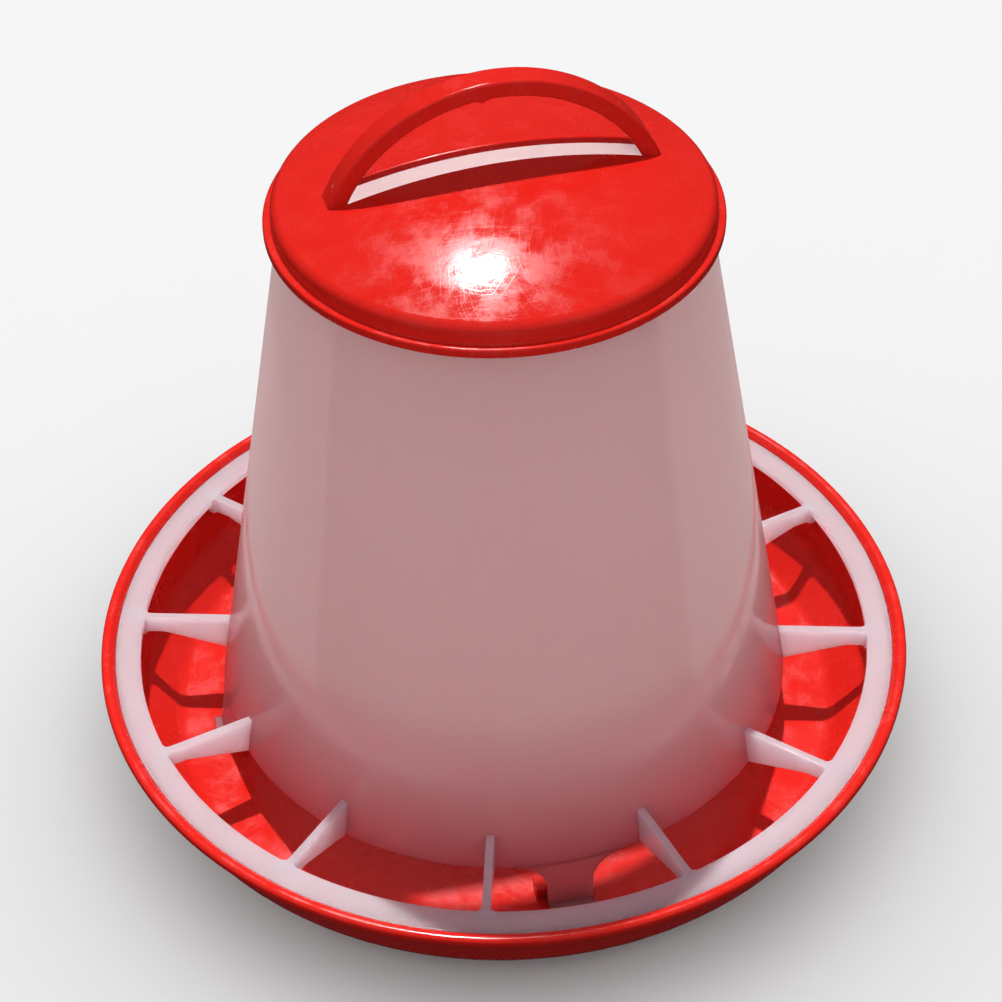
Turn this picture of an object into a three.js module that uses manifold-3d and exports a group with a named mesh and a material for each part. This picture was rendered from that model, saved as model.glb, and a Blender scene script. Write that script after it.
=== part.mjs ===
// Gravity feeder for poultry: a red feed pan, a milky tapered hopper that stands in it on four feet, and a red
// cap lid with a hoop handle. The hopper is moulded in one with a ring and twelve spokes, which part the pan's
// rim into feeding places. Millimetres, +Z up, origin at the centre of the base, feet on the X and Y axes.
import * as THREE from "three";
import { mergeVertices } from "three/addons/utils/BufferGeometryUtils.js";
import Module from "manifold-3d";

// ---- driving dimensions ----
const SEGMENTS = 64; // facets round every turned piece
const GAP = 0.3; // running clearance, also kept where one moulding is split into nodes

const PAN = {
  wall: 1.4,
  rimRadius: 105,
  rimHeight: 32,
  rimInner: 101.5,
  rimEdge: 1.0, // rounding of the rim's outer edge
  rimUnderside: 29.6,
  rimCrest: 102.8, // the rim climbs from the ring's level to this radius
  floorTop: 6.3,
  footRadius: 86.8, // where the level floor turns up into the wall
  footRounding: 5,
  kneeRadius: 96.2, // where the wall turns steeper
  kneeHeight: 15.2,
  kneeRounding: 10,
  ledgeInner: 100,
  ledgeHeight: 28.2,
  baseRingInner: 75,
  baseRingOuter: 79,
  coneRadius: 48,
  coneHeight: 15.2, // above the floor
  coneTipRadius: 9,
};

const HOPPER = {
  wall: 1.8,
  bottomRadius: 74,
  bottomHeight: 20,
  topRadius: 48.8,
  topHeight: 162,
};

const FOOT = {
  count: 4,
  width: 11.4,
  cornerRadius: 7.5, // where a foot runs into the hopper's bottom edge
  soleInner: 71.4,
  soleOuter: 78.2,
  soleThickness: 1.0,
};

const LUG = {
  inner: 68.6,
  postOuter: 70.9,
  hookOuter: 73.2,
  hookUnderside: 8.1,
  height: 10.1,
  stopThickness: 2.0,
};

const GUARD = {
  innerRadius: 95,
  outerRadius: 101.1,
  top: 30.5,
  thickness: 2.0,
  spokes: 12,
  firstSpokeDegrees: 15,
  spokeThickness: 2.0,
  spokeHeightAtRing: 5.1,
  spokeKneeRadius: 90.5,
};

const LID = {
  wall: 1.8,
  turnDegrees: 2.4, // the lid may be put on at any angle
  flangeRadius: 52.2,
  flangeBottom: 160.6,
  flangeTop: 163,
  recessRadius: 49.3, // drops over the hopper's top edge
  skirtRadius: 50.3,
  shoulderRadius: 3,
  domeRadius: 132,
  apex: 177.1,
  slotLength: 68.6,
  slotWidth: 6.9,
};

const HANDLE = {
  outerRadius: 41.6,
  thickness: 4.0,
  width: 6.4,
  centreHeight: 155.4,
  segments: 28,
};

// ---- materials ----
const redPlastic = () => new THREE.MeshStandardMaterial({ color: 0xdd2018, roughness: 0.28, metalness: 0 });
const milkyPlastic = () => new THREE.MeshStandardMaterial({ color: 0xe6dfe2, roughness: 0.35, metalness: 0 });

// ---- geometry helpers ----
const wasm = await Module();
wasm.setup();

// Points [radius, height] along an arc, angles in degrees from the outward direction.
function arc(centreRadius, centreHeight, radius, fromDegrees, toDegrees, steps) {
  return Array.from({ length: steps + 1 }, (_, i) => {
    const angle = THREE.MathUtils.degToRad(fromDegrees + ((toDegrees - fromDegrees) * i) / steps);
    return [centreRadius + radius * Math.cos(angle), centreHeight + radius * Math.sin(angle)];
  });
}

// Direction in degrees from one [radius, height] point to another.
function heading(from, to) {
  return THREE.MathUtils.radToDeg(Math.atan2(to[1] - from[1], to[0] - from[0]));
}

// Points of the rounding at a corner where a path turns left.
function roundedCorner(before, corner, after, rounding, steps) {
  const first = heading(before, corner);
  const second = heading(corner, after);
  const radians = THREE.MathUtils.degToRad(first);
  const reach = rounding * Math.tan(THREE.MathUtils.degToRad((second - first) / 2));
  const centreRadius = corner[0] - reach * Math.cos(radians) - rounding * Math.sin(radians);
  const centreHeight = corner[1] - reach * Math.sin(radians) + rounding * Math.cos(radians);
  return arc(centreRadius, centreHeight, rounding, first - 90, second - 90, steps);
}

// Corner of the path that runs beside another, at a distance to its right.
function cornerBeside(before, corner, after, distance) {
  const first = THREE.MathUtils.degToRad(heading(before, corner));
  const second = THREE.MathUtils.degToRad(heading(corner, after));
  const reach = distance / Math.cos((second - first) / 2);
  const middle = (first + second) / 2;
  return [corner[0] + reach * Math.sin(middle), corner[1] - reach * Math.cos(middle)];
}

// Turned solid about Z from a profile of [radius, height] points.
function turned(profile) {
  const points = profile.map(([r, z]) => new THREE.Vector2(r, z));
  return new THREE.LatheGeometry(points, SEGMENTS).rotateX(Math.PI / 2);
}

// Closed ring profile, repeated at its first point.
function turnedRing(profile) {
  return turned([...profile, profile[0]]);
}

// Outline in the plane of radius and height at angle 0, extruded to a thickness centred on that plane.
function radialPlate(outline, thickness) {
  const shape = new THREE.Shape(outline.map(([r, z]) => new THREE.Vector2(r, z)));
  const plate = new THREE.ExtrudeGeometry(shape, { depth: thickness, bevelEnabled: false, curveSegments: 8 });
  return plate.translate(0, 0, -thickness / 2).rotateX(Math.PI / 2);
}

// Outline in [sideways, height] at angle 0, extruded outward between two radii.
function outwardPrism(shape, innerRadius, outerRadius) {
  const depth = outerRadius - innerRadius;
  const prism = new THREE.ExtrudeGeometry(shape, { depth, bevelEnabled: false, curveSegments: 6 });
  const axes = new THREE.Matrix4().makeBasis(
    new THREE.Vector3(0, 1, 0),
    new THREE.Vector3(0, 0, 1),
    new THREE.Vector3(1, 0, 0),
  );
  return prism.applyMatrix4(axes).translate(innerRadius, 0, 0);
}

function block(minimum, maximum) {
  const size = maximum.map((v, i) => v - minimum[i]);
  const centre = maximum.map((v, i) => (v + minimum[i]) / 2);
  return new THREE.BoxGeometry(...size).translate(...centre);
}

function toSolid(geometry) {
  const positions = new THREE.BufferGeometry();
  const loose = geometry.index ? geometry.toNonIndexed() : geometry;
  positions.setAttribute("position", loose.getAttribute("position"));
  const merged = mergeVertices(positions, 1e-3);
  return new wasm.Manifold(
    new wasm.Mesh({
      numProp: 3,
      vertProperties: merged.attributes.position.array,
      triVerts: new Uint32Array(merged.index.array),
    }),
  );
}

function toGeometry(solid) {
  const mesh = solid.getMesh();
  const geometry = new THREE.BufferGeometry();
  geometry.setAttribute("position", new THREE.BufferAttribute(new Float32Array(mesh.vertProperties), 3));
  geometry.setIndex(new THREE.BufferAttribute(new Uint32Array(mesh.triVerts), 1));
  geometry.computeVertexNormals();
  return geometry;
}

function named(name, geometry, material) {
  const mesh = new THREE.Mesh(geometry, material);
  mesh.name = name;
  return mesh;
}

// ---- feed pan ----
const hopperSlope = (HOPPER.bottomRadius - HOPPER.topRadius) / (HOPPER.topHeight - HOPPER.bottomHeight);

// Outer radius of the hopper's cone at a height, carried on below its bottom edge for the feet.
function hopperRadius(height) {
  return HOPPER.bottomRadius + hopperSlope * (HOPPER.bottomHeight - height);
}

function feedPan() {
  const underside = PAN.floorTop - PAN.wall;
  const coneTop = PAN.floorTop + PAN.coneHeight;
  const floor = [PAN.coneRadius, PAN.floorTop];
  const foot = [PAN.footRadius, PAN.floorTop];
  const knee = [PAN.kneeRadius, PAN.kneeHeight];
  const ledge = [PAN.ledgeInner, PAN.ledgeHeight];
  const across = PAN.wall / Math.sin(THREE.MathUtils.degToRad(heading(knee, ledge)));
  const outerLedge = [PAN.ledgeInner + across, PAN.ledgeHeight];
  const outerFloor = [PAN.baseRingOuter, underside];
  const outerFoot = cornerBeside(floor, foot, knee, PAN.wall);
  const outerKnee = cornerBeside(foot, knee, ledge, PAN.wall);
  const innerWall = [
    ...roundedCorner(floor, foot, knee, PAN.footRounding, 5),
    ...roundedCorner(foot, knee, ledge, PAN.kneeRounding, 4),
  ];
  const outerWall = [
    ...roundedCorner(outerFloor, outerFoot, outerKnee, PAN.footRounding + PAN.wall, 5),
    ...roundedCorner(outerFoot, outerKnee, outerLedge, PAN.kneeRounding + PAN.wall, 4),
  ];
  const edgeCentre = PAN.rimRadius - PAN.rimEdge;
  const profile = [
    [0, coneTop - PAN.wall],
    [PAN.coneTipRadius, coneTop - PAN.wall - 1.2],
    [PAN.coneRadius, underside],
    [PAN.baseRingInner, underside],
    [PAN.baseRingInner, 0],
    [PAN.baseRingOuter, 0],
    [PAN.baseRingOuter, underside],
    ...outerWall,
    outerLedge,
    [outerLedge[0] + 0.3, PAN.rimUnderside],
    [edgeCentre, PAN.rimUnderside],
    ...arc(edgeCentre, PAN.rimHeight - PAN.rimEdge, PAN.rimEdge, 0, 90, 3),
    [PAN.rimCrest, PAN.rimHeight],
    [PAN.rimInner, GUARD.top + 0.3],
    [PAN.rimInner, PAN.ledgeHeight],
    ledge,
    ...innerWall.reverse(),
    floor,
    [PAN.coneTipRadius, coneTop - 1.2],
    [0, coneTop],
  ];
  return named("feed_pan", turned(profile), redPlastic());
}

// Hook that the inner toe of a foot turns under, with a stop behind it. It stands at angle 0.
function lockLug(name) {
  const base = PAN.floorTop + GAP;
  const halfWidth = FOOT.width / 2;
  const stopInside = -halfWidth - GAP;
  const lShape = turnedRing([
    [LUG.inner, base],
    [LUG.postOuter, base],
    [LUG.postOuter, LUG.hookUnderside],
    [LUG.hookOuter, LUG.hookUnderside],
    [LUG.hookOuter, LUG.height],
    [LUG.inner, LUG.height],
  ]);
  const span = block([LUG.inner - 5, stopInside, 0], [LUG.hookOuter + 5, halfWidth, LUG.height + 5]);
  const fullSection = turnedRing([
    [LUG.inner, base],
    [LUG.hookOuter, base],
    [LUG.hookOuter, LUG.height],
    [LUG.inner, LUG.height],
  ]);
  const stopSpan = block(
    [LUG.inner - 5, stopInside - LUG.stopThickness, 0],
    [LUG.hookOuter + 5, stopInside, LUG.height + 5],
  );
  const hook = toSolid(lShape).intersect(toSolid(span));
  const stop = toSolid(fullSection).intersect(toSolid(stopSpan));
  return named(name, toGeometry(hook.add(stop)), redPlastic());
}

// ---- hopper moulding ----
function hopperWall() {
  const profile = [
    [HOPPER.bottomRadius, HOPPER.bottomHeight],
    [HOPPER.topRadius, HOPPER.topHeight],
    [HOPPER.topRadius - HOPPER.wall, HOPPER.topHeight],
    [HOPPER.bottomRadius - HOPPER.wall, HOPPER.bottomHeight],
  ];
  return named("hopper_wall", turnedRing(profile), milkyPlastic());
}

// Foot at angle 0: a tongue of the hopper's cone with a sole that reaches in and out.
function hopperFoot(name) {
  const top = HOPPER.bottomHeight - GAP;
  const bottom = PAN.floorTop + GAP;
  const half = FOOT.width / 2;
  const corner = FOOT.cornerRadius;
  const cone = turnedRing([
    [hopperRadius(bottom), bottom],
    [hopperRadius(top), top],
    [hopperRadius(top) - HOPPER.wall, top],
    [hopperRadius(bottom) - HOPPER.wall, bottom],
  ]);
  const outline = new THREE.Shape();
  outline.moveTo(-half, bottom - 1);
  outline.lineTo(half, bottom - 1);
  outline.lineTo(half, top - corner);
  outline.absarc(half + corner, top - corner, corner, Math.PI, Math.PI / 2, true);
  outline.lineTo(half + corner, top + 1);
  outline.lineTo(-half - corner, top + 1);
  outline.lineTo(-half - corner, top);
  outline.absarc(-half - corner, top - corner, corner, Math.PI / 2, 0, true);
  const tongue = toSolid(cone).intersect(toSolid(outwardPrism(outline, 60, 90)));
  const soleRing = turnedRing([
    [FOOT.soleInner, bottom],
    [FOOT.soleOuter, bottom],
    [FOOT.soleOuter, bottom + FOOT.soleThickness],
    [FOOT.soleInner, bottom + FOOT.soleThickness],
  ]);
  const soleSpan = block([60, -half, bottom - 1], [90, half, bottom + FOOT.soleThickness + 1]);
  const sole = toSolid(soleRing).intersect(toSolid(soleSpan));
  return named(name, toGeometry(tongue.add(sole)), milkyPlastic());
}

function guardRing() {
  const bottom = GUARD.top - GUARD.thickness;
  const profile = [
    [GUARD.innerRadius, bottom],
    [GUARD.outerRadius, bottom],
    [GUARD.outerRadius, GUARD.top],
    [GUARD.innerRadius, GUARD.top],
  ];
  return named("guard_ring", turnedRing(profile), milkyPlastic());
}

// Spoke at angle 0: level on top, deepest at the hopper.
function guardSpoke(name) {
  const outer = GUARD.innerRadius - GAP - 0.1;
  const kneeHeight = GUARD.top - GUARD.spokeHeightAtRing;
  const outline = [
    [hopperRadius(HOPPER.bottomHeight) + GAP, HOPPER.bottomHeight],
    [GUARD.spokeKneeRadius, kneeHeight],
    [outer, kneeHeight],
    [outer, GUARD.top],
    [hopperRadius(GUARD.top) + GAP, GUARD.top],
  ];
  return named(name, radialPlate(outline, GUARD.spokeThickness), milkyPlastic());
}

// ---- lid moulding ----
// Dome with a rounded shoulder: points from the skirt to the apex for a surface inset from the outside.
function domeProfile(inset, steps) {
  const shoulder = LID.shoulderRadius - inset;
  const dome = LID.domeRadius - inset;
  const centreHeight = LID.apex - LID.domeRadius;
  const shoulderCentre = LID.skirtRadius - LID.shoulderRadius;
  const rise = Math.sqrt((LID.domeRadius - LID.shoulderRadius) ** 2 - shoulderCentre ** 2);
  const tangent = THREE.MathUtils.radToDeg(Math.atan2(rise, shoulderCentre));
  return [
    ...arc(shoulderCentre, centreHeight + rise, shoulder, 0, tangent, 4),
    ...arc(0, centreHeight, dome, tangent, 90, steps).slice(1),
  ];
}

function lidShell() {
  const recessTop = HOPPER.topHeight + GAP;
  const outside = domeProfile(0, 7);
  const inside = domeProfile(LID.wall, 7).reverse();
  const profile = [
    ...inside,
    [LID.skirtRadius - LID.wall, recessTop],
    [LID.recessRadius, recessTop],
    [LID.recessRadius, LID.flangeBottom],
    [LID.flangeRadius, LID.flangeBottom],
    [LID.flangeRadius, LID.flangeTop],
    [LID.skirtRadius, LID.flangeTop],
    ...outside,
  ];
  const half = [LID.slotLength / 2, LID.slotWidth / 2];
  const slot = block([-half[0], -half[1], LID.flangeTop], [half[0], half[1], LID.apex + 5]);
  return named("lid_shell", toGeometry(toSolid(turned(profile)).subtract(toSolid(slot))), redPlastic());
}

// Hoop along X that stands over the slot, its ends cut to the dome.
function lidHandle() {
  const inner = HANDLE.outerRadius - HANDLE.thickness;
  const hoop = new THREE.Shape();
  hoop.absarc(0, HANDLE.centreHeight, HANDLE.outerRadius, 0, Math.PI, false);
  hoop.absarc(0, HANDLE.centreHeight, inner, Math.PI, 0, true);
  const settings = { depth: HANDLE.width, bevelEnabled: false, curveSegments: HANDLE.segments };
  const bar = new THREE.ExtrudeGeometry(hoop, settings);
  bar.translate(0, 0, -HANDLE.width / 2).rotateX(Math.PI / 2);
  const clearOfDome = [[0, 0], [LID.flangeRadius, 0], ...domeProfile(-GAP, 14)];
  return named("lid_handle", toGeometry(toSolid(bar).subtract(toSolid(turned(clearOfDome)))), redPlastic());
}

// ---- assembly ----
// Adds copies of a piece round the axis, numbered from 1, in a group turned to each place.
function around(parent, count, firstDegrees, make, prefix, digits) {
  for (let i = 0; i < count; i += 1) {
    const turn = new THREE.Group();
    turn.rotation.z = THREE.MathUtils.degToRad(firstDegrees + (360 * i) / count);
    turn.add(make(prefix + String(i + 1).padStart(digits, "0")));
    parent.add(turn);
  }
}

const pan = new THREE.Group();
pan.add(feedPan());
around(pan, FOOT.count, 0, lockLug, "pan_lock_lug_", 1);

const hopper = new THREE.Group();
hopper.add(hopperWall(), guardRing());
around(hopper, FOOT.count, 0, hopperFoot, "hopper_foot_", 1);
around(hopper, GUARD.spokes, GUARD.firstSpokeDegrees, guardSpoke, "guard_spoke_", 2);

const lid = new THREE.Group();
lid.rotation.z = THREE.MathUtils.degToRad(LID.turnDegrees);
lid.add(lidShell(), lidHandle());

const feeder = new THREE.Group();
feeder.add(pan, hopper, lid);

export default feeder;
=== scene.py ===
# Looks of a gravity feeder for poultry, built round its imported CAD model: a glossy red pan, a milky hopper
# moulded in one with a ring, twelve spokes and four feet, and a glossy red cap lid with a hoop handle.
# Metres, +Z up.
import math

import bmesh
import bpy
from mathutils import Matrix, Vector


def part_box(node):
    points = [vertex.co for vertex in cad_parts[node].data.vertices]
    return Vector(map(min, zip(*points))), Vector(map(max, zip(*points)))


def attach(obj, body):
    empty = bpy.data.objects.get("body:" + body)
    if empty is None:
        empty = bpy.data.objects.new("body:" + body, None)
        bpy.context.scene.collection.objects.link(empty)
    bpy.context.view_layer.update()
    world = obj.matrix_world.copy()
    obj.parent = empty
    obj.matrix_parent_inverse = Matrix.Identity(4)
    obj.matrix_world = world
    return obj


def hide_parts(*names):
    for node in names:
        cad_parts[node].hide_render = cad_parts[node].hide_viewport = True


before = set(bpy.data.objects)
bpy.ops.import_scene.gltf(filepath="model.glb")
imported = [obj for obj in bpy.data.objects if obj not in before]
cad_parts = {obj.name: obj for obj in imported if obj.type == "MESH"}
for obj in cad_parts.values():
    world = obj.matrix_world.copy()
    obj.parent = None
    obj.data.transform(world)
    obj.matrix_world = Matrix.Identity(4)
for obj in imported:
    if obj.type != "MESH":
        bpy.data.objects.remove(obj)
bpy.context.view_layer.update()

# ---- sizes ----
MM = 0.001
TURN_STEPS = 240  # facets round every turned piece
FILLET_STEPS = 5
LARGE_FILLET = 2 * MM  # from this radius on, a fillet gets three times the steps

pan_low, pan_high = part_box("feed_pan")
RIM_RADIUS = pan_high.x
RIM_TOP = pan_high.z
RIM_INNER = 101.5 * MM
RIM_CREST = 102.8 * MM
RIM_UNDERSIDE = 29.6 * MM
PAN_WALL = 1.4 * MM
FLOOR_TOP = 6.3 * MM
PAN_FOOT = (86.8 * MM, FLOOR_TOP)  # where the level floor turns up into the wall
PAN_FOOT_ROUNDING = 5.0 * MM
PAN_KNEE = (96.2 * MM, 15.2 * MM)  # where the wall turns steeper
PAN_KNEE_ROUNDING = 10.0 * MM
LEDGE_INNER = 100.0 * MM
LEDGE_TOP = 28.2 * MM
BASE_RING_INNER = 75.0 * MM
BASE_RING_OUTER = 79.0 * MM
CONE_RADIUS = 48.0 * MM
CONE_TIP_RADIUS = 9.0 * MM
CONE_TOP = FLOOR_TOP + 15.2 * MM

hopper_low, hopper_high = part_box("hopper_wall")
HOPPER_BOTTOM = hopper_low.z
HOPPER_TOP = hopper_high.z
HOPPER_BOTTOM_RADIUS = hopper_high.x
HOPPER_TOP_RADIUS = 48.8 * MM
HOPPER_WALL = 1.8 * MM
HOPPER_SLOPE = (HOPPER_BOTTOM_RADIUS - HOPPER_TOP_RADIUS) / (HOPPER_TOP - HOPPER_BOTTOM)

ring_low, ring_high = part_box("guard_ring")
RING_OUTER = RIM_INNER - 0.12 * MM
RING_INNER = 95.0 * MM
RING_BOTTOM = ring_low.z
RING_TOP = ring_high.z

SPOKES = 12
FIRST_SPOKE = math.radians(15)
SPOKE_HALF = 1.0 * MM
SPOKE_ROOT_FILLET = 0.7 * MM
SPOKE_END_FILLET = 1.1 * MM
SPOKE_OVERLAP = 1.4 * MM  # how far a spoke reaches into the ring
SPOKE_KNEE_RADIUS = 90.5 * MM
SPOKE_HEIGHT_AT_RING = 5.1 * MM
SPOKE_EDGE = 0.3 * MM
SPOKE_EDGE_LOSS = 0.18 * MM  # how much its edges sharpen where it meets the ring
SPOKE_EDGE_FADE = 2.0 * MM  # over this length
SPOKE_PROUD = 0.01 * MM  # how far its top stands above the ring's
SPOKE_SINK = 0.06 * MM  # how far its end dips into the ring
SPOKE_START = 0.5 * MM  # how far inside the cone it starts

foot_low, foot_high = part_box("hopper_foot_1")
FEET = 4
FOOT_BOTTOM = foot_low.z
FOOT_HALF = 5.7 * MM
FOOT_CORNER = 7.5 * MM
SOLE_INNER = foot_low.x
SOLE_OUTER = foot_high.x
SOLE_TOP = FOOT_BOTTOM + 1.0 * MM
FOOT_EDGE = 0.35 * MM

LID_TURN = math.radians(2.4)
LID_WALL = 1.8 * MM
FLANGE_RADIUS = 52.2 * MM
FLANGE_BOTTOM = 160.6 * MM
FLANGE_TOP = 163.0 * MM
RECESS_RADIUS = 49.3 * MM
RECESS_TOP = 162.3 * MM
SKIRT_RADIUS = 50.3 * MM
SHOULDER_RADIUS = 3.0 * MM
DOME_RADIUS = 132.0 * MM
DOME_CENTRE = 177.1 * MM - DOME_RADIUS
SLOT_HALF_LENGTH = 34.3 * MM
SLOT_HALF_WIDTH = 3.45 * MM
SLOT_CORNER = 0.9 * MM
SLOT_EDGE = 0.5 * MM
SLOT_FIELD_RADIUS = 44.0 * MM  # inside it the dome's mesh follows the slot, outside it the circle

HOOP_OUTER = 41.6 * MM
HOOP_THICKNESS = 4.0 * MM
HOOP_HALF_WIDTH = 3.2 * MM
HOOP_CENTRE = 155.4 * MM
HOOP_EDGE = 0.7 * MM
HOOP_SINK = 0.9 * MM  # how far its feet reach into the dome's wall
HOOP_STEPS = 120
GATE_ANGLE = math.radians(94)  # place, width and height of the moulding gate under the hoop
GATE_WIDTH = math.radians(1.6)
GATE_HEIGHT = 0.7 * MM


# ---- outlines ----
def arc(centre, radius, start, end, steps):
    """Points along an arc, both ends included, angles in radians from the outward direction."""
    points = []
    for i in range(steps + 1):
        angle = start + (end - start) * i / steps
        points.append((centre[0] + radius * math.cos(angle), centre[1] + radius * math.sin(angle), 0))
    return points


def rounded(corners, closed=True):
    """Outline through corners (a, b, radius), with an arc at each corner that has a radius."""
    count = len(corners)
    outline = []
    for i, (a, b, radius) in enumerate(corners):
        corner = Vector((a, b))
        if radius == 0 or (not closed and i in (0, count - 1)):
            outline.append((a, b))
            continue
        before = (Vector(corners[i - 1][:2]) - corner).normalized()
        after = (Vector(corners[(i + 1) % count][:2]) - corner).normalized()
        half = before.angle(after) / 2
        centre = corner + (before + after).normalized() * (radius / math.sin(half))
        from_centre = corner + before * (radius / math.tan(half)) - centre
        to_centre = corner + after * (radius / math.tan(half)) - centre
        start = math.atan2(from_centre.y, from_centre.x)
        sweep = (math.atan2(to_centre.y, to_centre.x) - start + math.pi) % (2 * math.pi) - math.pi
        steps = FILLET_STEPS if radius < LARGE_FILLET else 3 * FILLET_STEPS
        for k in range(steps + 1):
            angle = start + sweep * k / steps
            outline.append((centre.x + radius * math.cos(angle), centre.y + radius * math.sin(angle)))
    return outline


# ---- meshes ----
def circle(radius, height):
    if radius < 0.001 * MM:
        return [Vector((0, 0, height))]
    turns = [2 * math.pi * i / TURN_STEPS for i in range(TURN_STEPS)]
    return [Vector((radius * math.cos(t), radius * math.sin(t), height)) for t in turns]


def skin(name, loops, closed=False):
    """Mesh over a row of point loops. The row closes on itself, or each end is a pole or gets a cap."""
    shape = bmesh.new()
    rows = [[shape.verts.new(p) for p in loop] for loop in loops]
    pairs = list(zip(rows, rows[1:]))
    if closed:
        pairs.append((rows[-1], rows[0]))
    for a, b in pairs:
        count = max(len(a), len(b))
        for i in range(count):
            j = (i + 1) % count
            if len(a) == 1:
                shape.faces.new((a[0], b[i], b[j]))
            elif len(b) == 1:
                shape.faces.new((a[i], a[j], b[0]))
            else:
                shape.faces.new((a[i], a[j], b[j], b[i]))
    if not closed:
        for row in (rows[0], rows[-1]):
            if len(row) > 1:
                shape.faces.new(row)
    bmesh.ops.recalc_face_normals(shape, faces=shape.faces)
    for face in shape.faces:
        face.smooth = True
    mesh = bpy.data.meshes.new(name)
    shape.to_mesh(mesh)
    shape.free()
    return mesh


def piece(name, mesh, body, nodes, slot, turn=0.0, material=None):
    """Places a mesh, turned about the axis, as the piece that stands for those CAD nodes."""
    mesh.transform(Matrix.Rotation(turn, 4, "Z"))
    made = bpy.data.objects.new(name, mesh)
    bpy.context.scene.collection.objects.link(made)
    made.data.materials.append(MATERIALS[material or slot])
    even = made.modifiers.new("even_normals", "WEIGHTED_NORMAL")
    even.weight = 60
    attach(made, body)
    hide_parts(*nodes)
    return made


def turned(name, outline, closed):
    return skin(name, [circle(r, z) for r, z in outline], closed)


# ---- materials ----
class Nodes:
    """Shorthand for adding and linking a material's nodes."""

    def __init__(self, name):
        self.material = bpy.data.materials.new(name)
        self.material.use_nodes = True
        self.tree = self.material.node_tree
        self.shader = self.tree.nodes["Principled BSDF"]

    def add(self, kind, values=None, **settings):
        made = self.tree.nodes.new(kind)
        for key, value in settings.items():
            setattr(made, key, value)
        for key, value in (values or {}).items():
            if isinstance(value, bpy.types.NodeSocket):
                self.tree.links.new(value, made.inputs[key])
            else:
                made.inputs[key].default_value = value
        return made

    def link(self, output, socket):
        self.tree.links.new(output, self.shader.inputs[socket])

    def math(self, operation, a, b=0.0):
        return self.add("ShaderNodeMath", {0: a, 1: b}, operation=operation).outputs[0]

    def place(self, scale=(1, 1, 1), turn=(0, 0, 0)):
        """Position on the object, in metres, scaled and turned."""
        where = self.add("ShaderNodeTexCoord").outputs["Object"]
        values = {"Vector": where, "Scale": scale, "Rotation": turn}
        return self.add("ShaderNodeMapping", values).outputs["Vector"]

    def noise(self, vector, scale, detail=2.0, rough=0.5):
        values = {"Vector": vector, "Scale": scale, "Detail": detail, "Roughness": rough}
        return self.add("ShaderNodeTexNoise", values).outputs["Fac"]

    def band(self, value, low, high, to_low=0.0, to_high=1.0):
        values = {"Value": value, "From Min": low, "From Max": high, "To Min": to_low, "To Max": to_high}
        return self.add("ShaderNodeMapRange", values).outputs["Result"]

    def mix(self, factor, a, b):
        made = self.add("ShaderNodeMix", data_type="RGBA")
        for socket, value in ((made.inputs[0], factor), (made.inputs[6], a), (made.inputs[7], b)):
            if isinstance(value, bpy.types.NodeSocket):
                self.tree.links.new(value, socket)
            else:
                socket.default_value = value
        return made.outputs[2]

    def bump(self, height, distance, normal=None):
        made = self.add("ShaderNodeBump", {"Height": height, "Distance": distance, "Strength": 1.0})
        if normal is not None:
            self.tree.links.new(normal, made.inputs["Normal"])
        return made.outputs["Normal"]

    def glow(self, colour, share):
        """Lets light through from behind, as a share of the shader."""
        behind = self.add("ShaderNodeBsdfTranslucent", {"Color": colour})
        both = self.add("ShaderNodeMixShader", {0: share})
        self.tree.links.new(self.shader.outputs[0], both.inputs[1])
        self.tree.links.new(behind.outputs[0], both.inputs[2])
        self.tree.links.new(both.outputs[0], self.tree.nodes["Material Output"].inputs["Surface"])

    def scratches(self, centres, per_metre, width, cut):
        """Fine arcs round far centres, in short lengths: 1 on the middle of a line, 0 off it."""
        where = self.place()
        total = None
        for centre in centres:
            values = {0: where, 1: [c * MM for c in centre]}
            away = self.add("ShaderNodeVectorMath", values, operation="DISTANCE").outputs["Value"]
            wander = self.math("MULTIPLY", self.noise(where, 30.0, 1.0), 0.012)
            rings = self.math("MULTIPLY", self.math("ADD", away, wander), per_metre)
            lines = self.add("ShaderNodeTexVoronoi", {"W": rings, "Scale": 1.0}, voronoi_dimensions="1D")
            ridge = self.band(lines.outputs["Distance"], 0.0, width, 1.0, 0.0)
            values = {0: lines.outputs["Color"], 1: (9.0, 9.0, 9.0)}
            own = self.add("ShaderNodeVectorMath", values, operation="MULTIPLY").outputs["Vector"]
            shifted = self.add("ShaderNodeVectorMath", {0: where, 1: own}, operation="ADD").outputs["Vector"]
            length = self.band(self.noise(shifted, 110.0, 1.0), cut, cut + 0.06)
            line = self.math("MULTIPLY", ridge, length)
            total = line if total is None else self.math("MAXIMUM", total, line)
        return total


SCRATCH_CENTRES = ((70, -30, 168), (-62, 20, 150), (15, 85, 190), (-20, -95, 140))  # millimetres
SCRATCHES_PER_METRE = 900.0
SCRATCH_WIDTH = 0.13  # share of the spacing
SCRATCH_CUT = 0.5  # the noise level under which a line is left out
SCRATCH_DEPTH = 0.0025 * MM


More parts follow.
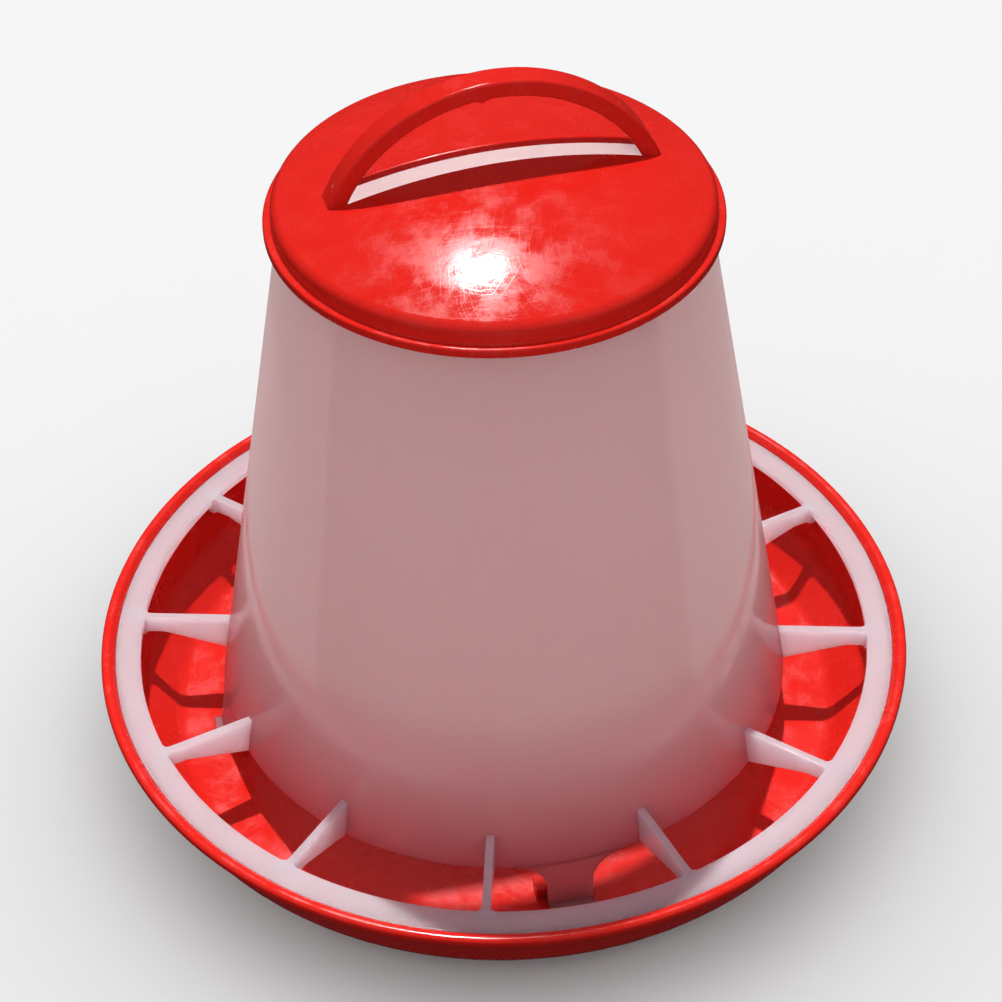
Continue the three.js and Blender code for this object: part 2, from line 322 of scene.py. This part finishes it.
def red_plastic():
    """Glossy moulded red plastic with faint flow marks, fine curved scuffs and a few pale nicks."""
    look = Nodes("red_plastic")
    cloud = look.noise(look.place(), 22.0, 3.0)
    colour = look.mix(cloud, (0.60, 0.011, 0.006, 1), (0.67, 0.018, 0.012, 1))
    cells = look.add("ShaderNodeTexVoronoi", {"Vector": look.place(), "Scale": 95.0, "Randomness": 1.0})
    near = look.math("LESS_THAN", cells.outputs["Distance"], 0.05)
    chosen = look.math("GREATER_THAN", cells.outputs["Color"], 0.74)
    nick = look.math("MULTIPLY", look.math("MULTIPLY", near, chosen), 0.4)
    look.link(look.mix(nick, colour, (0.95, 0.30, 0.28, 1)), "Base Color")
    scuffs = look.scratches(SCRATCH_CENTRES, SCRATCHES_PER_METRE, SCRATCH_WIDTH, SCRATCH_CUT)
    haze = look.band(look.noise(look.place(), 130.0, 6.0, 0.6), 0.40, 0.64, 0.11, 0.33)
    look.link(look.math("ADD", haze, look.math("MULTIPLY", scuffs, 0.08)), "Roughness")
    grain = look.bump(look.noise(look.place(), 420.0, 2.0), 0.02 * MM)
    look.link(look.bump(scuffs, SCRATCH_DEPTH, grain), "Normal")
    look.shader.inputs["IOR"].default_value = 1.5
    look.shader.inputs["Specular IOR Level"].default_value = 0.3
    look.shader.inputs["Subsurface Weight"].default_value = 0.12
    look.shader.inputs["Subsurface Radius"].default_value = (1.0, 0.25, 0.15)
    look.shader.inputs["Subsurface Scale"].default_value = 1.2 * MM
    look.glow((0.85, 0.02, 0.01, 1), 0.08)
    return look.material


def milky_plastic(name, base, glow, share, pan_bounce_paint):
    """Natural polypropylene: it glows where light reaches it from behind, and its skin is glossy.

    Low down, near the pan, its colours are tinted with painted red bounce light from the pan.
    """
    look = Nodes(name)
    cloud = look.noise(look.place(scale=(1, 1, 0.2)), 28.0, 3.0)
    height = look.add("ShaderNodeSeparateXYZ", {0: look.place()}).outputs["Z"]
    # Painted red bounce light from the pan: full at the bottom edge, fading out higher up.
    bounce_paint_fade = look.band(height, BOUNCE_PAINT_LOW, BOUNCE_PAINT_HIGH)

    # Random paler clouds, plus painted red bounce light from the pan low down.
    def tone_and_painted_bounce(colour):
        low = [c * t for c, t in zip(colour, pan_bounce_paint)]
        paler = [min(1.0, c * 1.06) for c in colour]
        return look.mix(bounce_paint_fade, (*low, 1), look.mix(cloud, (*colour, 1), (*paler, 1)))

    look.link(tone_and_painted_bounce(base), "Base Color")
    haze = look.band(look.noise(look.place(), 45.0, 4.0, 0.6), 0.3, 0.7, 0.10, 0.15)
    look.link(haze, "Roughness")
    ripple = look.bump(look.noise(look.place(scale=(1, 1, 0.3)), 90.0, 2.0), 0.03 * MM)
    look.link(look.bump(look.noise(look.place(), 650.0, 2.0), 0.006 * MM, ripple), "Normal")
    look.shader.inputs["IOR"].default_value = 1.5
    look.shader.inputs["Coat Weight"].default_value = 1.0
    look.shader.inputs["Coat Roughness"].default_value = 0.07
    look.shader.inputs["Subsurface Weight"].default_value = 1.0
    look.shader.inputs["Subsurface Radius"].default_value = (1.0, 0.85, 0.85)
    look.shader.inputs["Subsurface Scale"].default_value = 10.0 * MM
    look.glow(tone_and_painted_bounce(glow), share)
    return look.material


BOUNCE_PAINT_LOW = 22 * MM  # up to here the wall has all of the painted red bounce light from the pan, and from the next one on none
BOUNCE_PAINT_HIGH = 66 * MM
# Base colour, colour of light let through, its share, and the tint of painted red bounce light near the pan.
# The wall's pinkish base and let-through colours are the milky plastic with painted red bounce light from
# the lid and pan worked in.
WALL_MILK = ((0.95, 0.82, 0.84), (1.00, 0.84, 0.84), 0.60, (0.80, 0.45, 0.50))
GUARD_MILK = ((0.95, 0.94, 1.00), (1.0, 0.97, 1.00), 0.50, (1.0, 1.0, 1.0))
MATERIALS = {
    "red_plastic": red_plastic(),
    "milky_plastic": milky_plastic("milky_plastic", *WALL_MILK),
    "milky_guard": milky_plastic("milky_guard", *GUARD_MILK),
}


# ---- feed pan ----
def corner_beside(before, corner, after, distance):
    """Corner of the line that runs beside another, at a distance to its right."""
    first = math.atan2(corner[1] - before[1], corner[0] - before[0])
    second = math.atan2(after[1] - corner[1], after[0] - corner[0])
    reach = distance / math.cos((second - first) / 2)
    middle = (first + second) / 2
    return corner[0] + reach * math.sin(middle), corner[1] - reach * math.cos(middle)


def feed_pan():
    underside = FLOOR_TOP - PAN_WALL
    floor_edge = (CONE_RADIUS, FLOOR_TOP)
    ledge = (LEDGE_INNER, LEDGE_TOP)
    across = PAN_WALL / math.sin(math.atan2(ledge[1] - PAN_KNEE[1], ledge[0] - PAN_KNEE[0]))
    outer_foot = corner_beside(floor_edge, PAN_FOOT, PAN_KNEE, PAN_WALL)
    outer_knee = corner_beside(PAN_FOOT, PAN_KNEE, ledge, PAN_WALL)
    corners = [
        (0, CONE_TOP, 0),
        (CONE_TIP_RADIUS, CONE_TOP - 1.2 * MM, 6 * MM),
        (*floor_edge, 9 * MM),
        (*PAN_FOOT, PAN_FOOT_ROUNDING),
        (*PAN_KNEE, PAN_KNEE_ROUNDING),
        (*ledge, 0.4 * MM),
        (RIM_INNER, LEDGE_TOP, 0.2 * MM),
        (RIM_INNER, RING_TOP + 0.1 * MM, 0.3 * MM),
        (RIM_CREST, RIM_TOP, 1.5 * MM),
        (RIM_RADIUS, RIM_TOP, 1.2 * MM),
        (RIM_RADIUS, RIM_UNDERSIDE, 0.7 * MM),
        (LEDGE_INNER + across + 0.3 * MM, RIM_UNDERSIDE, 0.5 * MM),
        (LEDGE_INNER + across, LEDGE_TOP, 0),
        (*outer_knee, PAN_KNEE_ROUNDING + PAN_WALL),
        (*outer_foot, PAN_FOOT_ROUNDING + PAN_WALL),
        (BASE_RING_OUTER, underside, 0.5 * MM),
        (BASE_RING_OUTER, 0, 0.6 * MM),
        (BASE_RING_INNER, 0, 0.6 * MM),
        (BASE_RING_INNER, underside, 0.5 * MM),
        (CONE_RADIUS, underside, 9 * MM),
        (CONE_TIP_RADIUS, CONE_TOP - PAN_WALL - 1.2 * MM, 6 * MM),
        (0, CONE_TOP - PAN_WALL, 0),
    ]
    mesh = turned("pan_bowl", rounded(corners, closed=False), closed=False)
    piece("pan_bowl", mesh, "pan", ["feed_pan"], "red_plastic")


def lock_lugs():
    """The CAD lugs are the right shape: they only need soft edges and the pan's plastic."""
    for name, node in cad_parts.items():
        if not name.startswith("pan_lock_lug"):
            continue
        node.data.materials.clear()
        node.data.materials.append(MATERIALS["red_plastic"])
        weld = node.modifiers.new("weld", "WELD")
        weld.merge_threshold = 0.01 * MM
        soft = node.modifiers.new("soft_edges", "BEVEL")
        soft.width = 0.25 * MM
        soft.segments = 3
        soft.angle_limit = math.radians(40)
        soft.harden_normals = True


# ---- hopper moulding ----
def cone_radius(height):
    """Outer radius of the hopper at a height, carried on below its bottom edge for the feet."""
    return HOPPER_BOTTOM_RADIUS + HOPPER_SLOPE * (HOPPER_BOTTOM - height)


def hopper_wall():
    corners = [
        (HOPPER_BOTTOM_RADIUS, HOPPER_BOTTOM, 0.35 * MM),
        (HOPPER_TOP_RADIUS, HOPPER_TOP, 0.4 * MM),
        (HOPPER_TOP_RADIUS - HOPPER_WALL, HOPPER_TOP, 0.4 * MM),
        (HOPPER_BOTTOM_RADIUS - HOPPER_WALL, HOPPER_BOTTOM, 0.35 * MM),
    ]
    mesh = turned("hopper_cone", rounded(corners), closed=True)
    piece("hopper_cone", mesh, "hopper", ["hopper_wall"], "milky_plastic")


def guard_ring():
    corners = [
        (RING_INNER, RING_BOTTOM, 0.2 * MM),
        (RING_OUTER, RING_BOTTOM, 0.2 * MM),
        (RING_OUTER, RING_TOP, 0.3 * MM),
        (RING_INNER, RING_TOP, 0.15 * MM),
    ]
    mesh = turned("feeding_ring", rounded(corners), closed=True)
    piece("feeding_ring", mesh, "hopper", ["guard_ring"], "milky_plastic", material="milky_guard")


def flare(distance, fillet):
    """How much a rib's half thickness grows near the face it grows out of."""
    depth = fillet - min(max(distance, 0.0), fillet)
    return fillet - math.sqrt(fillet**2 - depth**2)


def spoke(number, turn):
    """Rib from the cone into the ring: level on top, deepest at the cone, flared where it meets either."""
    inner = HOPPER_BOTTOM_RADIUS
    at_ring = RING_INNER - inner
    length = at_ring + SPOKE_OVERLAP
    knee = RING_TOP - SPOKE_HEIGHT_AT_RING
    near_cone = [SPOKE_ROOT_FILLET * (i / 8) ** 1.6 for i in range(9)]
    middle_length = at_ring - SPOKE_END_FILLET - SPOKE_ROOT_FILLET
    middle = [SPOKE_ROOT_FILLET + middle_length * i / 12 for i in range(1, 12)]
    near_ring = [at_ring - SPOKE_END_FILLET * (1 - i / 8) ** 1.6 for i in range(9)]
    in_ring = [at_ring + SPOKE_OVERLAP * i / 3 for i in range(1, 4)]
    loops = []
    for along in near_cone + middle + near_ring + in_ring:
        radius = inner + along
        fall = max(0.0, (SPOKE_KNEE_RADIUS - radius) / (SPOKE_KNEE_RADIUS - inner))
        bottom = knee + (HOPPER_BOTTOM - knee) * fall
        half = SPOKE_HALF + flare(along, SPOKE_ROOT_FILLET) + flare(at_ring - along, SPOKE_END_FILLET)
        sunk = max(0.0, along - at_ring) / SPOKE_OVERLAP
        top = RING_TOP + SPOKE_PROUD - SPOKE_SINK * sunk
        near = max(0.0, 1 - abs(at_ring - along) / SPOKE_EDGE_FADE)
        edge = SPOKE_EDGE - SPOKE_EDGE_LOSS * (1.0 if sunk else near)
        section = rounded([
            (-half, bottom, SPOKE_EDGE),
            (half, bottom, SPOKE_EDGE),
            (half, top, edge),
            (-half, top, edge),
        ])
        loop = []
        for side, height in section:
            start = cone_radius(height) - SPOKE_START
            loop.append(Vector((start + (inner + length - start) * along / length, side, height)))
        loops.append(loop)
    name = f"spoke_{number:02d}"
    piece(name, skin(name, loops), "hopper", [f"guard_{name}"], "milky_plastic", turn, "milky_guard")


def foot(number, turn):
    """Tongue of the cone that widens into the hopper's bottom edge, on a sole with a toe each way."""
    sole = [
        (FOOT_BOTTOM, -0.3 * MM),
        (FOOT_BOTTOM + 0.1 * MM, -0.1 * MM),
        (FOOT_BOTTOM + 0.3 * MM, 0.0),
        (SOLE_TOP - 0.4 * MM, 0.0),
        (SOLE_TOP - 0.1 * MM, -0.1 * MM),
        (SOLE_TOP, -0.4 * MM),
    ]
    stations = []
    for height, inset in sole:
        stations.append((height, SOLE_INNER - inset, SOLE_OUTER + inset, FOOT_HALF + min(inset, 0)))
    corner_start = HOPPER_BOTTOM - FOOT_CORNER
    heights = [SOLE_TOP, SOLE_TOP + 0.3 * MM]
    heights += [SOLE_TOP + (corner_start - SOLE_TOP) * i / 6 for i in range(1, 7)]
    heights += [corner_start + FOOT_CORNER * math.sin(math.pi / 2 * i / 14) for i in range(1, 15)]
    for height in heights:
        bounce_paint_fade = max(0.0, height - corner_start)
        half = FOOT_HALF + FOOT_CORNER - math.sqrt(max(0.0, FOOT_CORNER**2 - bounce_paint_fade**2))
        outer = cone_radius(height)
        stations.append((height, outer - HOPPER_WALL, outer, half))
    loops = []
    for height, inner, outer, half in stations:
        section = rounded([
            (inner, -half, FOOT_EDGE),
            (outer, -half, FOOT_EDGE),
            (outer, half, FOOT_EDGE),
            (inner, half, FOOT_EDGE),
        ])
        loops.append([Vector((r * math.cos(s / r), r * math.sin(s / r), height)) for r, s in section])
    name = f"foot_{number}"
    piece(name, skin(name, loops), "hopper", [f"hopper_{name}"], "milky_plastic", turn)


# ---- lid moulding ----
def dome_height(x, y, inset=0.0):
    return DOME_CENTRE + math.sqrt((DOME_RADIUS - inset) ** 2 - x * x - y * y)


def slot_point(angle, offset):
    """Point on the slot's outline, grown by offset, that faces this direction from the centre."""
    a = SLOT_HALF_LENGTH + offset
    b = SLOT_HALF_WIDTH + offset
    corner = SLOT_CORNER + offset
    side = math.copysign(1, math.cos(angle)), math.copysign(1, math.sin(angle))
    folded = math.atan2(abs(math.sin(angle)), abs(math.cos(angle)))
    last = math.acos((a - corner) / SLOT_FIELD_RADIUS)
    first = last / 2
    if folded < first:
        x, y = a, (b - corner) * folded / first
    elif folded < last:
        bend = math.pi / 2 * (folded - first) / (last - first)
        x = a - corner + corner * math.cos(bend)
        y = b - corner + corner * math.sin(bend)
    else:
        x, y = SLOT_FIELD_RADIUS * math.cos(folded), b
    return x * side[0], y * side[1]


def dome_field(inset, outward):
    """Loops on the dome from the slot's edge to the circle, with the slot's rounded edge first."""
    angles = [2 * math.pi * (i + 0.5) / TURN_STEPS for i in range(TURN_STEPS)]
    sign = 1 if outward else -1
    loops = []
    for k in range(FILLET_STEPS + 1):
        bend = math.pi / 2 * (1 - k / FILLET_STEPS)
        offset = SLOT_EDGE * (1 - math.sin(bend))
        drop = sign * SLOT_EDGE * (1 - math.cos(bend))
        points = [slot_point(angle, offset) for angle in angles]
        loops.append([Vector((x, y, dome_height(x, y, inset) - drop)) for x, y in points])
    blends = 16
    for k in range(1, blends + 1):
        share = (k / blends) ** 1.3
        loop = []
        for angle in angles:
            near_x, near_y = slot_point(angle, SLOT_EDGE)
            x = near_x + (SLOT_FIELD_RADIUS * math.cos(angle) - near_x) * share
            y = near_y + (SLOT_FIELD_RADIUS * math.sin(angle) - near_y) * share
            loop.append(Vector((x, y, dome_height(x, y, inset))))
        loops.append(loop)
    return loops


def shoulder(inset):
    """Outline from the dome over the rounded shoulder to the top of the skirt."""
    reach = SKIRT_RADIUS - SHOULDER_RADIUS
    rise = math.sqrt((DOME_RADIUS - SHOULDER_RADIUS) ** 2 - reach**2)
    return arc((reach, DOME_CENTRE + rise), SHOULDER_RADIUS - inset, math.atan2(rise, reach), 0, 12)


def circle_half_step(radius, height):
    """Circle whose points face the same directions as the slot field's."""
    turns = [2 * math.pi * (i + 0.5) / TURN_STEPS for i in range(TURN_STEPS)]
    return [Vector((radius * math.cos(t), radius * math.sin(t), height)) for t in turns]


def lid_shell():
    outside = rounded([
        *shoulder(0)[:-1],
        (SKIRT_RADIUS, shoulder(0)[-1][1], 0),
        (SKIRT_RADIUS, FLANGE_TOP, 0.5 * MM),
        (FLANGE_RADIUS, FLANGE_TOP, 0.6 * MM),
        (FLANGE_RADIUS, FLANGE_BOTTOM, 0.6 * MM),
        (RECESS_RADIUS, FLANGE_BOTTOM, 0.4 * MM),
        (RECESS_RADIUS, RECESS_TOP, 0.2 * MM),
        (SKIRT_RADIUS - LID_WALL, RECESS_TOP, 0.3 * MM),
        *reversed(shoulder(LID_WALL)),
    ], closed=False)
    middle = [circle_half_step(r, z) for r, z in outside]
    loops = dome_field(0.0, True) + middle + list(reversed(dome_field(LID_WALL, False)))
    mesh = skin("lid_cap", loops, closed=True)
    piece("lid_cap", mesh, "lid", ["lid_shell"], "red_plastic", LID_TURN)


def hoop_end(radius, side):
    """Angle at which a line along the hoop sinks into the dome's wall."""
    low, high = 0.0, math.pi / 2
    for _ in range(40):
        middle = (low + high) / 2
        height = HOOP_CENTRE + radius * math.sin(middle)
        if height > dome_height(radius * math.cos(middle), side) - HOOP_SINK:
            high = middle
        else:
            low = middle
    return low


def lid_handle():
    inner = HOOP_OUTER - HOOP_THICKNESS
    section = rounded([
        (inner, -HOOP_HALF_WIDTH, HOOP_EDGE),
        (HOOP_OUTER, -HOOP_HALF_WIDTH, HOOP_EDGE),
        (HOOP_OUTER, HOOP_HALF_WIDTH, HOOP_EDGE),
        (inner, HOOP_HALF_WIDTH, HOOP_EDGE),
    ])
    loops = []
    for k in range(HOOP_STEPS + 1):
        loop = []
        for radius, side in section:
            end = hoop_end(radius, side)
            angle = end + (math.pi - 2 * end) * k / HOOP_STEPS
            if radius < inner + HOOP_EDGE:
                radius -= GATE_HEIGHT * math.exp(-(((angle - GATE_ANGLE) / GATE_WIDTH) ** 2))
            loop.append(Vector((radius * math.cos(angle), side, HOOP_CENTRE + radius * math.sin(angle))))
        loops.append(loop)
    piece("lid_hoop", skin("lid_hoop", loops), "lid", ["lid_handle"], "red_plastic", LID_TURN)


feed_pan()
lock_lugs()
hopper_wall()
guard_ring()
for index in range(SPOKES):
    spoke(index + 1, FIRST_SPOKE + 2 * math.pi * index / SPOKES)
for index in range(FEET):
    foot(index + 1, 2 * math.pi * index / FEET)
lid_shell()
lid_handle()

# ---- floor, light and camera ----
SUN_TURN = math.radians(7)  # from straight behind the object, as the camera sees it
SUN_ELEVATION = math.radians(68)
VIEW_AZIMUTH = math.radians(-11.7)
VIEW_ELEVATION = math.radians(42.13)
VIEW_ROLL = math.radians(-1.22)
VIEW_DISTANCE = 588.0 * MM
VIEW_TARGET = Vector((0.13 * MM * math.cos(VIEW_AZIMUTH), 0.13 * MM * math.sin(VIEW_AZIMUTH), 73.46 * MM))
SENSOR = 36.0
LENS = 84.26


def direction(azimuth, elevation):
    """Unit vector from the object towards a place seen at that azimuth and elevation."""
    flat = math.cos(elevation)
    return Vector((math.sin(azimuth) * flat, -math.cos(azimuth) * flat, math.sin(elevation)))


def camera():
    back = direction(VIEW_AZIMUTH, VIEW_ELEVATION)
    right = Vector((math.cos(VIEW_AZIMUTH), math.sin(VIEW_AZIMUTH), 0))
    up = back.cross(right)
    tilt_right = right * math.cos(VIEW_ROLL) + up * math.sin(VIEW_ROLL)
    tilt_up = up * math.cos(VIEW_ROLL) - right * math.sin(VIEW_ROLL)
    data = bpy.data.cameras.new("camera")
    data.sensor_width = SENSOR
    data.lens = LENS
    data.clip_start = 0.01
    made = bpy.data.objects.new("camera", data)
    made.matrix_world = Matrix.Translation(VIEW_TARGET + back * VIEW_DISTANCE) @ Matrix(
        (tilt_right, tilt_up, back)
    ).transposed().to_4x4()
    bpy.context.scene.collection.objects.link(made)
    bpy.context.scene.camera = made


def floor():
    shape = bmesh.new()
    bmesh.ops.create_circle(shape, cap_ends=True, radius=12.0, segments=96)
    mesh = bpy.data.meshes.new("floor")
    shape.to_mesh(mesh)
    shape.free()
    made = bpy.data.objects.new("floor", mesh)
    made.location.z = -0.05 * MM
    look = Nodes("floor")
    cloud = look.noise(look.place(), 3.0)
    look.link(look.mix(cloud, (0.77, 0.77, 0.77, 1), (0.79, 0.79, 0.79, 1)), "Base Color")
    look.shader.inputs["Roughness"].default_value = 0.9
    look.shader.inputs["Specular IOR Level"].default_value = 0.0
    mesh.materials.append(look.material)
    bpy.context.scene.collection.objects.link(made)
    # It only receives light and shadow: it sends none back, and lamps shine through it from below.
    made.visible_diffuse = False
    made.visible_glossy = False
    made.visible_transmission = False
    made.visible_shadow = False
    return made


def lamp(name, towards, strength, spread, colour, receivers, glossy):
    """Distant lamp that shines from there on some objects only, and shows in reflections or not."""
    data = bpy.data.lights.new(name, "SUN")
    data.energy = strength
    data.angle = math.radians(spread)
    data.color = colour
    made = bpy.data.objects.new(name, data)
    made.rotation_euler = towards.to_track_quat("Z", "Y").to_euler()
    made.visible_glossy = glossy
    made.light_linking.receiver_collection = bpy.data.collections.new(f"{name}_receivers")
    for lit in receivers:
        made.light_linking.receiver_collection.objects.link(lit)
    bpy.context.scene.collection.objects.link(made)


def light(ground):
    """High key behind the object, soft fill on each plastic, and a floor with a lamp of its own."""
    parts = [o for o in bpy.context.scene.objects if o.type == "MESH" and o.data.materials]
    wall = [o for o in parts if o.data.materials[0] == MATERIALS["milky_plastic"]]
    guard = [o for o in parts if o.data.materials[0] == MATERIALS["milky_guard"]]
    lid = [o for o in parts if o.name.startswith("lid")]
    pan = [o for o in parts if o.name.startswith("pan")]
    behind = VIEW_AZIMUTH + math.pi
    sun = direction(behind + SUN_TURN, SUN_ELEVATION)
    low_front = direction(VIEW_AZIMUTH, math.radians(25))
    high_front = direction(VIEW_AZIMUTH, math.radians(50))
    overhead = direction(VIEW_AZIMUTH, math.radians(80))
    from_below = direction(behind, math.radians(-35))
    lamp("key", sun, 3.9, 1.2, (1.0, 0.98, 0.99), lid + pan + wall + guard, True)
    lamp("wide", sun, 3.6, 150, (1.0, 1.0, 1.0), [ground], True)
    lamp("front_lid", low_front, 1.9, 120, (1.0, 0.95, 0.95), lid, False)
    lamp("soft_pan", overhead, 1.6, 170, (1.0, 0.93, 0.93), pan, False)
    lamp("front_wall", high_front, 1.6, 180, (1.0, 0.95, 0.95), wall, False)
    lamp("front_guard", low_front, 1.5, 120, (0.93, 0.80, 0.97), guard, False)
    lamp("ground_glow", from_below, 1.9, 160, (1.0, 0.97, 0.96), wall, True)
    world = bpy.data.worlds.new("world")
    world.use_nodes = True
    nodes = world.node_tree.nodes
    links = world.node_tree.links
    height = nodes.new("ShaderNodeSeparateXYZ")
    links.new(nodes.new("ShaderNodeTexCoord").outputs["Generated"], height.inputs[0])
    sky = nodes.new("ShaderNodeMapRange")
    sky.inputs["From Min"].default_value = -0.15
    sky.inputs["From Max"].default_value = 0.5
    sky.inputs["To Min"].default_value = 0.03
    sky.inputs["To Max"].default_value = 0.12
    links.new(height.outputs["Z"], sky.inputs["Value"])
    links.new(sky.outputs[0], nodes["Background"].inputs["Strength"])
    nodes["Background"].inputs["Color"].default_value = (0.93, 0.96, 1.0, 1)
    bpy.context.scene.world = world
    # With the light tree on, lamps linked to some pieces only are lost on others.
    bpy.context.scene.cycles.use_light_tree = False
    bpy.context.scene.view_settings.view_transform = "Standard"


camera()
light(floor())
